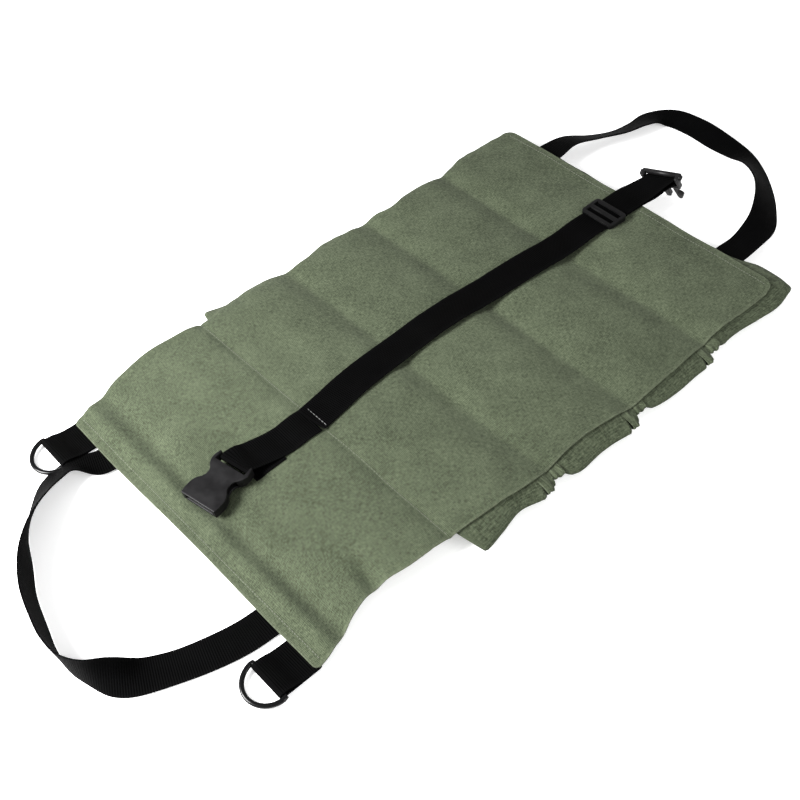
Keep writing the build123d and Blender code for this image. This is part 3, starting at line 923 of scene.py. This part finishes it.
def zipChain(i):
    middle = seamMiddle(i)
    points = []
    faces = []
    count = int(2 * zipper["halfLength"] / zipper["toothPitch"])
    for side in (-1, 1):
        for k in range(count):
            y = -zipper["halfLength"] + (k + (0.5 if side > 0 else 0.05) + 0.2) * zipper["toothPitch"]
            half = zipper["toothLong"] / 2
            inner = middle + side * zipper["slit"]
            outer = middle + side * (zipper["slit"] + zipper["tooth"] + 1.2)
            first = len(points)
            low = zipper["low"]
            high = zipper["high"]
            sections = (
                (inner, half * 0.7, low + 0.15, high - 0.2),
                (inner * 0.7 + outer * 0.3, half, low, high),
                (outer, half * 0.85, low, high),
            )
            for x, wide, low, high in sections:
                points += [(x, y - wide, low), (x, y + wide, low), (x, y + wide, high), (x, y - wide, high)]
            rings = [(0, 1, 5, 4), (1, 2, 6, 5), (2, 3, 7, 6), (3, 0, 4, 7)]
            solid = [(3, 2, 1, 0)] + rings + [tuple(c + 4 for c in f) for f in rings] + [(8, 9, 10, 11)]
            if side < 0:
                solid = [tuple(reversed(f)) for f in solid]
            faces += [tuple(first + c for c in f) for f in solid]
    teeth = makePiece(f"zipTeeth{i + 1}", points, faces, zipMetal)
    teeth.data.shade_flat()
    tapes = []
    for side in (-1, 1):
        xs = np.linspace(zipper["tapeIn"], zipper["tapeOut"], 6) * side + middle
        ys = spread([-zipper["halfLength"], zipper["halfLength"]], 5.0)
        x, y = np.meshgrid(np.sort(xs), ys, indexing="ij")
        points = rowsOf(x, y, np.full(x.shape, zipper["tapeZ"]))
        uv = points[:, :2]
        name = f"zipTape{i + 1}{'Near' if side < 0 else 'Far'}"
        tapes.append(fabric(name, points, gridFaces(len(xs), len(ys)), uv, zipper["tapeThick"], zipTape))
    return teeth, tapes


slider = {"length": 11.0, "wide": 9.2, "tip": 4.6, "low": 0.2, "high": 4.5, "start": -151.0}


def zipSlider(i):
    middle = seamMiddle(i)
    y0 = slider["start"]
    y1 = y0 + slider["length"]
    half = slider["wide"] / 2
    outline = [
        (-half, y0 + 4), (-slider["tip"] / 2 - 0.6, y0), (slider["tip"] / 2 + 0.6, y0), (half, y0 + 4),
        (half * 0.92, y1 - 1), (half * 0.55, y1), (-half * 0.55, y1), (-half * 0.92, y1 - 1),
    ]
    spot = placed(middle, 0, 0)
    lower = plate(f"zipSliderLower{i + 1}", outline, slider["low"], 1.2, spot, zipMetal, 0.3, 1.0)
    upper = plate(f"zipSliderUpper{i + 1}", outline, 3.75, slider["high"], spot, zipMetal, 0.25, 1.0)
    post = plate(
        f"zipSliderPost{i + 1}", [(-1.4, y0 + 2), (1.4, y0 + 2), (0.7, y1 - 2), (-0.7, y1 - 2)],
        1.1, 3.85, spot, zipMetal, 0.1, 0.3,
    )
    bridge = plate(
        f"zipSliderBridge{i + 1}", [(-1.1, y0 + 3.4), (1.1, y0 + 3.4), (1.1, y1 + 0.2), (-1.1, y1 + 0.2)],
        0.05, 0.75, spot, zipMetal, 0.2, 0.5,
    )
    return [lower, upper, post, bridge]


puller = {"start": -139.4, "length": 24.0, "half": 2.6, "low": 0.2, "high": 1.2, "hole": 1.4}


def zipPuller(i):
    middle = seamMiddle(i)
    y0 = puller["start"]
    y1 = y0 + puller["length"]
    h = puller["half"]
    half = [(1.5, y0), (1.7, y0 + 4), (h, y0 + 8), (h, y1 - 1)]
    outline = [(-1.5, y0)] + half + [(-x, y) for x, y in half[:0:-1]]
    hole = rod("cutter", (0, y1 - 5, -3), (0, y1 - 5, 6), puller["hole"], plain)
    return plate(
        f"zipPullTag{i + 1}", outline, puller["low"], puller["high"], placed(middle, 0, 0), zipMetal, 0.22, 1.6,
        cutters=[hole],
    )


for i in range(4):
    body = f"back_{i + 1}"
    side = bellows(i)
    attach(side, body)
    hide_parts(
        f"pocket_{i + 1}_near_wall", f"pocket_{i + 1}_far_wall",
        f"pocket_{i + 1}_left_gusset", f"pocket_{i + 1}_right_gusset",
    )
    face = pocketFace(i)
    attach(face, body)
    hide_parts(f"pocket_{i + 1}_face")
    teeth, tapes = zipChain(i)
    for piece in [teeth] + tapes:
        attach(piece, body)
    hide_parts(f"zip_{i + 1}_tape")
    for k, piece in enumerate(zipSlider(i)):
        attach(piece, f"zip_{i + 1}_slider")
        if k == 0:
            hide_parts(f"zip_{i + 1}_slider")
    tag = zipPuller(i)
    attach(tag, f"zip_{i + 1}_puller")
    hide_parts(f"zip_{i + 1}_puller")
    long = 118.0 if i == 3 else 104.5
for i in (1, 2, 3):
    for side in (-1, 1):
        tuck = seamPleat(i, side)
print("pockets and zips made")


# the canvas pieces set in place and the CAD parts they replace hidden; the hem stitches go with the flap and
# the far panel

canvasMoves = [
    (flapCanvas, "flap", "flap_root", -0.1920, -0.1665, ("flap", "near_hem")),
    (foldCanvas, "flap_root", "back_1", -0.1630, -0.1430, ("flap_root", "canvas_1")),
    (backA, "back_1", "back_2", -0.0560, -0.0330, ("canvas_2",)),
    (backB, "back_2", "back_3", 0.0485, 0.0715, ("canvas_3",)),
    (backC, "back_3", "back_4", 0.1530, 0.1760, ("canvas_4", "far_hem")),
]
panelSize = np.diff(cloth["splits"]).tolist()
panelStitches = ([nearStitches], [crossLeft, crossRight], [], [], [farStitches])
for (piece, first, second, start, end, stood), long, extra in zip(canvasMoves, panelSize, panelStitches):
    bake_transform(piece)
    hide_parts(*stood)
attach(nearStitches, "flap")
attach(farStitches, "back_4")
for piece in (crossLeft, crossRight):
    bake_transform(piece)


# strap over the back

strap = {
    "wide": 32.0,
    "thick": 1.5,
    "line": [(-151.9, 10), (-128, 13), (-95, 17.2), (-44.5, 20.6), (8, 19.8), (60, 17.2), (112, 12.6),
             (164.5, 9.8), (220, 8.6), (269, 8.2)],
    "splits": [-151.9, -96.75, 7.75, 112.25, 216.0],
}
flapFrame = Matrix.Translation((foldLine * mm, 0, roof * mm)) @ Matrix.Rotation(-flapSlope, 4, "Y")


def strapHeight(x, y):
    # the webbing lies over the seams without dipping into them
    over = canvasHeight(x, y)
    for i, seam in enumerate(seams[1:-1]):
        over = over + 2.2 * hump(x, seam, 13.0)
    return np.maximum(over, 20.2) + 0.5 + strap["thick"] / 2


def strapRows():
    rows = smoothLine([(x, y, 0) for x, y in strap["line"]], step=3.0)
    x = rows[:, 0]
    y = rows[:, 1]
    z = strapHeight(x, y)
    z = z + 1.3 * np.clip((x + 139) / 60, 0, 1)
    z = z + 0.7 * ripple(x, 0 * x, 90, 5) * np.clip((x + 140) / 30, 0, 1)
    z = np.where(x > 190, z + (23.4 - z) * np.clip((x - 190) / 24, 0, 1), z)
    turn = np.gradient(y, x)
    roll = 0.03 * ripple(x, 0 * x, 130, 6)
    return np.column_stack([x, y, z, -turn, np.ones_like(x), roll])


def barBend(centre, way, up, radius, first, last, parts=9):
    # webbing bent round a bar: rows of place and width, from one angle to another
    centre = Vector(centre)
    way = Vector(way).normalized()
    up = Vector(up)
    up = (up - way * up.dot(way)).normalized()
    third = way.cross(up)
    found = []
    for k in range(parts + 1):
        angle = math.radians(first + (last - first) * k / parts)
        spot = centre + (up * math.cos(angle) + third * math.sin(angle)) * radius
        found.append((*spot, *way))
    return found


rows = strapRows()
run = 0.0
strapBodies = [
    ("strapStart", "back_1", "strap_1", -0.1402, -0.1290, ("strap_stitch_patch", "strap_1")),
    ("strapFoldA", "strap_1", "strap_2", -0.0525, -0.0365, ("strap_2",)),
    ("strapFoldB", "strap_2", "strap_3", 0.0520, 0.0680, ("strap_3",)),
    ("strapFoldC", "strap_3", "strap_4", 0.1565, 0.1725, ("strap_4",)),
]
strapSpans = zip(strap["splits"], strap["splits"][1:])
for (name, first, second, start, end, stood), (low, high) in zip(strapBodies, strapSpans):
    inside = (rows[:, 0] > low + 0.5) & (rows[:, 0] < high - 0.5)
    ends = [[x] + [np.interp(x, rows[:, 0], rows[:, c]) for c in range(1, 6)] for x in (low, high)]
    mine = np.vstack([ends[0], rows[inside], ends[1]])
    piece = ribbon(name, mine, strap["wide"], strap["thick"], webbing, startAt=run)
    run += float(np.sum(np.linalg.norm(np.diff(mine[:, :3], axis=0), axis=1)))
    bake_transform(piece)
    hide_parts(*stood)

patchStitches = {"x": -146.6, "pitch": 3.9, "length": 3.1, "thick": 0.62, "count": 8}
spots = []
for k in range(patchStitches["count"]):
    x = patchStitches["x"]
    y = np.interp(x, rows[:, 0], rows[:, 1]) + (k - 3.5) * patchStitches["pitch"]
    spots.append((x, y, strapHeight(np.array([x]), np.array([y]))[0] + 0.95))
patchWays = [(0.02, 1, 0)] * len(spots)
patchRow = beadRow(
    "patchStitches", spots, patchWays, patchStitches["length"], patchStitches["thick"], strapThread
)
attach(patchRow, "back_1")
print("strap made")


# strap's tail, adjuster and the plug half of the buckle

tail = {"bar": (302.0, -3.8, 34.0), "way": (0.2, -0.95, 0.22), "hang": (0.48, -0.1, -0.86), "bend": 2.75}
barWay = Vector(tail["way"]).normalized()
hang = Vector(tail["hang"])
hang = (hang - barWay * hang.dot(barWay)).normalized()
plugTurn = Matrix((barWay, hang, barWay.cross(hang))).transposed().to_4x4()
plugPlace = Matrix.Translation(Vector(tail["bar"]) * mm) @ plugTurn


def tailStrap():
    # up to the buckle's bar, round it, and back under itself to the adjuster
    first = [np.interp(216.0, rows[:, 0], rows[:, c]) for c in range(1, 6)]
    path = [(216.0, *first)]
    path += [tuple(r) for r in rows[(rows[:, 0] > 220) & (rows[:, 0] < 262)][::3]]
    path += [
        (272, 7.6, 23.6, 0.02, 1, 0.0),
        (282, 4.4, 26.6, -0.06, 0.99, -0.08),
        (292, 0.4, 31.6, -0.15, 0.96, -0.17),
    ]
    toward = (Vector(tail["bar"]) - Vector((284, 3.2, 26.0))).normalized()
    width = -barWay
    up = width.cross(toward)
    up = up if up.z > 0 else -up
    way = 1 if width.cross(up).dot(toward) > 0 else -1
    path += barBend(tail["bar"], width, up, tail["bend"], 0, way * 180, 10)
    path += [
        (293, -0.4, 27.6, -0.13, 0.97, -0.15),
        (284, 3.4, 23.6, -0.05, 1, -0.06),
        (274, 6.9, 21.9, 0.02, 1, 0.0),
        (260, 8.4, 21.4, 0.02, 1, 0),
        (246, 8.6, 21.4, 0.02, 1, 0),
    ]
    piece = ribbon("strapTail", path, strap["wide"], 1.35, webbing, step=1.6, startAt=run)
    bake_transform(piece)
    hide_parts("strap_tail")


tailStrap()

adjuster = {"middle": (230.0, 8.6), "halfLong": 13.0, "halfWide": 19.6, "low": 20.7, "high": 26.5}


def triGlide():
    cx, cy = adjuster["middle"]
    hx = adjuster["halfLong"]
    hy = adjuster["halfWide"]
    outline = [(-hx, -hy), (hx, -hy), (hx, hy), (-hx, hy)]
    slots = [
        boxShape(-hx + 4.4, -2.2, -hy + 3.2, hy - 3.2, 0, 60),
        boxShape(2.2, hx - 4.4, -hy + 3.2, hy - 3.2, 0, 60),
        boxShape(-hx - 5, hx + 5, -hy + 3.2, hy - 3.2, 10, 24.55),
    ]
    frameHalf = plate(
        "adjusterFrame", outline, adjuster["low"], adjuster["high"], placed(cx, cy, 0), glide, 0.9, 4.5, slots
    )
    cross = plate(
        "adjusterBar", [(-2.8, -hy + 2.5), (2.8, -hy + 2.5), (2.8, hy - 2.5), (-2.8, hy - 2.5)],
        adjuster["low"], 21.9, placed(cx, cy, 0), glide, 0.5, 0.8,
    )
    for piece in (frameHalf, cross):
        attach(piece, "tri_glide")
    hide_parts("tri_glide")


triGlide()

plug = {"slotHalf": 17.2, "half": 19.0, "thick": 5.2, "base": 6.0, "baseLong": 6.5, "prong": 21.0}


def plugHalf():
    t = plug["thick"] / 2
    h = plug["half"]
    s = plug["slotHalf"]
    y1 = plug["base"]
    y2 = y1 + plug["baseLong"]
    guide = y2 + plug["prong"] - 4
    half = [
        (s, y1), (s, -7.0), (h + 2.2, -7.0), (h + 0.6, y2 - 1.5), (h - 2.5, y2),
        (4.2, y2), (3.2, y2 + 2), (2.6, guide), (1.6, guide + 1),
    ]
    mirrored = [(-x, y) for x, y in half[::-1]]
    body = half + mirrored
    bar = rod("cutter", (-s - 0.9, 0, 0), (s + 0.9, 0, 0), 1.6, plain)
    base = plate("plugBody", body, -t, t, plugPlace, buckle, 0.55, 1.2, joined=[bar])
    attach(base, "buckle_plug")
    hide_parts("buckle_plug")
    ledge = plate(
        "plugLedge", [(-h + 1.5, y1 + 1.6), (h - 1.5, y1 + 1.6), (h - 1.5, y2 - 1.4), (-h + 1.5, y2 - 1.4)],
        -t - 0.5, t + 0.5, plugPlace, buckle, 0.4, 1.0,
    )
    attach(ledge, "buckle_plug")
    over = t + 2.0
    outer = h + 2.0
    back = -3.6
    bars = [
        ((-outer, back, over), (outer, back, over)),
        ((-outer, back, 0), (-outer, back, over)),
        ((outer, back, 0), (outer, back, over)),
    ]
    for k, (start, end) in enumerate(bars):
        cross = rod(f"plugCross{k}", start, end, 2.7, buckle)
        cross.data.transform(plugPlace)
        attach(cross, "buckle_plug")
    for name, side in (("left", -1), ("right", 1)):
        tip = y2 + plug["prong"]
        arm = [
            (9.6, y2 + 0.3), (13.2, y2 + 0.3), (12.6, tip - 12), (16.4, tip - 8.6), (16.6, tip - 6),
            (14.6, tip - 1.6), (12.2, tip), (10.0, tip - 2.2), (9.8, tip - 12),
        ]
        piece = plate(
            f"{name}Prong", [(side * x, y) for x, y in arm], -t * 0.9, t * 0.9, plugPlace, buckle, 0.6, 1.6
        )
        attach(piece, f"{name}_prong")
        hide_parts(f"{name}_prong")


plugHalf()
print("adjuster and plug made")


# socket half of the buckle and its short strap

socket = {
    "bar": (-76.0, 19.0, 8.2),
    "turn": 190.4,
    "slotHalf": 17.2,
    "low": -5.0,
    "high": 5.0,
    "outline": [
        (-2.4, 18.6), (3.0, 20.2), (9.0, 20.0), (13.4, 17.6), (17.0, 14.2), (21.5, 13.2), (26.0, 14.6),
        (30.0, 18.0), (34.4, 19.8), (42.0, 20.2), (48.5, 19.6),
    ],
}
socketPlace = flapFrame @ placed(*socket["bar"], Matrix.Rotation(math.radians(socket["turn"]), 4, "Z"))


def socketHalf():
    sideLine = smoothLine([(x, y, 0) for x, y in socket["outline"]], count=34)[:, :2]
    outline = [tuple(p) for p in sideLine] + [(x, -y) for x, y in sideLine[::-1]]
    s = socket["slotHalf"]
    cutters = [
        boxShape(-12, 6.4, -s, s, -20, 20),
        boxShape(14, 60, -15.6, 15.6, -2.7, 2.7),
    ]
    shell = plate("socketShell", outline, socket["low"], socket["high"], socketPlace, buckle, 0.9, 0, cutters)
    cross = rod("socketBar", (0, -s - 0.8, 0), (0, s + 0.8, 0), 1.6, buckle)
    cross.data.transform(socketPlace)
    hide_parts("buckle_socket")
    for piece in (shell, cross):
        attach(piece, "buckle_socket")


socketHalf()

shortStrap = {"wide": 32.0, "thick": 1.5, "loop": 2.75}


def shortStrapPieces():
    lift = shortStrap["thick"] / 2 + 0.5
    rootRows = []
    for x, y in ((-152.4, 10.6), (-160, 10.9), (-170, 11.1), (-180.5, 11.4)):
        rootRows.append((x, y, heightAt(x, y) + lift, 0.03, 1, 0))
    root = ribbon("shortStrapRoot", rootRows, shortStrap["wide"], shortStrap["thick"], webbing)
    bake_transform(root)
    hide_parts("buckle_strap_root")
    path = [rootRows[-1]]
    for x, y, up in ((-190, 12.6, 0.8), (-203, 14.8, 2.8), (-214, 17.0, 5.4)):
        path.append((x, y, heightAt(x, y) + lift + up, 0.05, 1, 0))
    bar = socketPlace.to_translation() / mm
    barLine = socketPlace.to_3x3() @ Vector((0, -1, 0))
    if barLine.y < 0:
        barLine = -barLine
    toward = Vector((-1, 0, -0.12))
    up = barLine.cross(toward)
    up = up if up.z > 0 else -up
    way = 1 if barLine.cross(up).dot(toward) > 0 else -1
    bend = barBend(bar, barLine, up, shortStrap["loop"], way * -12, way * 190, 11)
    path += [(bar.x + 6.0, bar.y - 0.5, bar.z + 2.6, 0.12, 1, 0)]
    path += bend
    for x, y in ((-224, 13.8), (-212, 13.2), (-200, 12.4), (-193, 11.9)):
        path.append((x, y - 1.6, heightAt(x, y) + lift - 0.1, 0.06, 1, 0))
    long = ribbon("shortStrap", path, shortStrap["wide"], 1.3, webbing, step=1.6, startAt=28.0)
    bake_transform(long)
    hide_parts("buckle_strap")


shortStrapPieces()
print("socket and short strap made")


# ring tabs and rings

ring = {"x": -333.0, "y": 157.0, "z": 4.25, "wire": 4.4, "depth": 21.75, "half": 21.05, "sag": 4.76}
tab = {"wide": 36.0, "thick": 1.4, "loop": 3.05}


def ringTab(name, side):
    y = side * ring["y"]
    line = [(-296, 2.35), (-306, 2.4), (-317, 3.6), (-326, 6.4)]
    for t in np.radians(np.linspace(84, 276, 11)):
        line.append((ring["x"] + tab["loop"] * math.cos(t), ring["z"] + tab["loop"] * math.sin(t)))
    line += [(-325, 0.85), (-312, 0.8), (-296, 0.8)]
    path = [(x, y, z, 0.0, 1.0, 0.0) for x, z in line]
    piece = ribbon(f"{name}RingTab", path, tab["wide"], tab["thick"], webbing, step=1.6, startAt=side * 7.0)
    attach(piece, "flap")
    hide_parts(f"{name}_ring_tab")


def dRing(name, side):
    arc = [(-ring["depth"] * math.sin(t), -ring["half"] * math.cos(t)) for t in np.linspace(0, math.pi, 40)]
    bar = [(0.0, y) for y in np.linspace(ring["half"], -ring["half"], 16)[1:-1]]
    sag = Matrix.Rotation(-math.radians(ring["sag"]), 4, "Y")
    place = placed(ring["x"], side * ring["y"], ring["z"], sag)
    wire = loopWire(f"{name}DRing", arc + bar, ring["wire"], ring["wire"] * 0.9, place, ringMetal, 2.3, 16)
    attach(wire, f"{name}_d_ring")
    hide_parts(f"{name}_d_ring")


for name, side in (("left", 1), ("right", -1)):
    ringTab(name, side)
    dRing(name, side)
print("ring tabs and rings made")


# handles

nearLoop = {
    "wide": 30.0,
    "thick": 1.5,
    "rows": [  # x, y, height of the lower edge, and how far the band is turned on edge, in degrees
        (-294, 119, 0.9, 0),
        (-310, 121, 0.9, -4),
        (-332, 131, 0.9, -30),
        (-352, 128, 0.8, -34),
        (-374, 114, 0.8, -50),
        (-396, 92, 0.8, -74),
        (-414, 65, 0.8, -97),
        (-428, 38, 0.8, -103),
        (-437, 6, 0.8, -104),
        (-442, -18, 0.8, -101),
        (-442, -40, 0.8, -95),
        (-434, -60, 0.8, -80),
        (-421, -74, 0.8, -42),
        (-404, -84, 0.9, -10),
        (-384, -93, 0.9, 0),
        (-352, -105, 0.9, 0),
        (-322, -112, 0.9, 0),
        (-294, -114, 0.9, 0),
    ],
}
farLoop = {
    "wide": 29.0,
    "thick": 1.6,
    "rows": [
        (262, 123, 17.0, 0),
        (276, 123, 16.6, -3),
        (300, 121, 14.4, -16),
        (326, 108, 9.0, -28),
        (354, 97, 5.4, -30),
        (382, 94, 3.0, -26),
        (406, 94, 1.6, -12),
        (424, 80, 1.0, 4),
        (428, 52, 0.9, 7),
        (426, 16, 0.9, 5),
        (422, -14, 0.9, -8),
        (409, -42, 1.2, -32),
        (389, -69, 3.0, -42),
        (363, -91, 6.4, -36),
        (335, -107, 10.8, -18),
        (304, -113, 15.0, 3),
        (276, -114, 16.8, 0),
        (262, -114, 17.0, 0),
    ],
}


def loopStations(values):
    rows = np.array(values["rows"], float)
    way = np.gradient(rows[:, :2], axis=0)
    way /= np.linalg.norm(way, axis=1, keepdims=True)
    outward = np.stack([way[:, 1], -way[:, 0]], axis=1)
    outward *= np.sign(np.sum(outward * (rows[:, :2] - rows[:, :2].mean(axis=0)), axis=1, keepdims=True))
    outward[[0, -1]] = [[0, 1], [0, -1]]
    turn = np.radians(rows[:, 3])
    flat = np.cos(turn)[:, None] * outward
    up = np.sin(turn)
    z = rows[:, 2] + np.abs(up) * values["wide"] / 2
    return np.column_stack([rows[:, 0], rows[:, 1], z, flat, up])


handles = [
    ("nearHandle", nearLoop, "flap", "near_handle", -0.2990, -0.3070),
    ("farHandle", farLoop, "back_4", "far_handle", 0.2680, 0.2760),
]
for name, values, first, second, start, end in handles:
    piece = ribbon(name, loopStations(values), values["wide"], values["thick"], webbing, step=2.6)
    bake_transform(piece)
    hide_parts(second)
print("handles made")


# floor and light

studio = {
    "floor": 8.0,
    "floorDrop": 0.0005,
    "floorTone": (0.93, 0.93, 0.93),
    "floorGlow": 0.45,  # fades the shadows
    "skyTone": (1.0, 1.0, 1.0),
    "sky": 0.55,
    "key": {"place": (-1.15, 0.50, 0.80), "size": 0.6, "power": 82.0},
    "fill": {"place": (0.3, -1.5, 0.75), "size": 1.0, "power": 18.0},
}


def stage():
    half = studio["floor"] / 2 / mm
    corners = [(-half, -half, 0), (half, -half, 0), (half, half, 0), (-half, half, 0)]
    floor = makePiece("paleFloor", corners, [(0, 1, 2, 3)], plain)
    floor.location.z = -studio["floorDrop"]
    n = Nodes("paleFloorPaint")
    grain = n.noise(n.place(), 30, 2.0)
    tone = studio["floorTone"]
    darker = tuple(0.985 * c for c in tone)
    n.join(n.blend(n.span(grain, 0.3, 0.7, 0, 1), darker, tone), n.shader.inputs["Base Color"])
    n.shader.inputs["Roughness"].default_value = 0.9
    n.shader.inputs["Emission Color"].default_value = (1, 1, 1, 1)
    n.shader.inputs["Emission Strength"].default_value = studio["floorGlow"]
    floor.data.materials[0] = n.material
    world = bpy.data.worlds.new("studio")
    scene.world = world
    world.use_nodes = True
    sky = world.node_tree.nodes["Background"]
    sky.inputs["Color"].default_value = (*studio["skyTone"], 1)
    sky.inputs["Strength"].default_value = studio["sky"]
    for name in ("key", "fill"):
        values = studio[name]
        light = bpy.data.lights.new(name, "AREA")
        light.shape = "SQUARE"
        light.size = values["size"]
        light.energy = values["power"]
        lamp = bpy.data.objects.new(name, light)
        lamp.location = values["place"]
        lamp.rotation_euler = (-Vector(values["place"])).to_track_quat("-Z", "Y").to_euler()
        scene.collection.objects.link(lamp)


stage()
scene.view_settings.view_transform = "Standard"
bpy.data.materials.remove(plain)
print("floor and light set")
